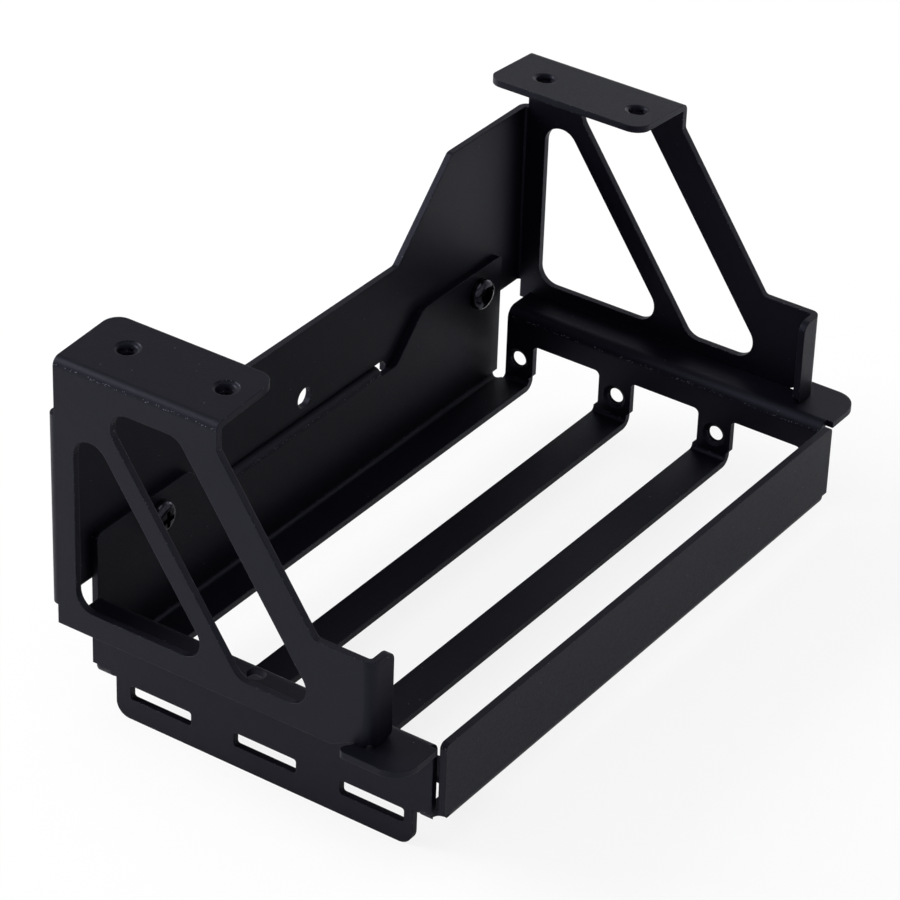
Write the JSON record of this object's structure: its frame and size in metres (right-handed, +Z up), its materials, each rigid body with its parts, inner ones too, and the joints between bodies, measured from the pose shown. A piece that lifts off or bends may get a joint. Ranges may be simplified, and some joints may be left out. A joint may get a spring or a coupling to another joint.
{
  "type": "vertical graphics card mount",
  "caption": "Folded black steel frame with expansion slot openings, screwed into a U-shaped hanger with openwork end plates and top screw flanges, to hold a graphics card upright.",
  "frame": {"origin": "middle of the bounding box in X and Y, at the level of the tongue's lower edge", "axes": "+X towards the end with the card screw tabs, +Y towards the back plate, +Z up towards the top flanges"},
  "size_m": [0.1344, 0.0712, 0.0678],
  "materials": {
    "sheet": "satin black powder coat",
    "screw": "glossy black plated steel"
  },
  "bodies": {
    "root": {"slot_frame": "sheet", "hanger_bracket": "sheet", "frame_screw_near": "screw", "frame_screw_far": "screw"}
  },
  "joints": []
}
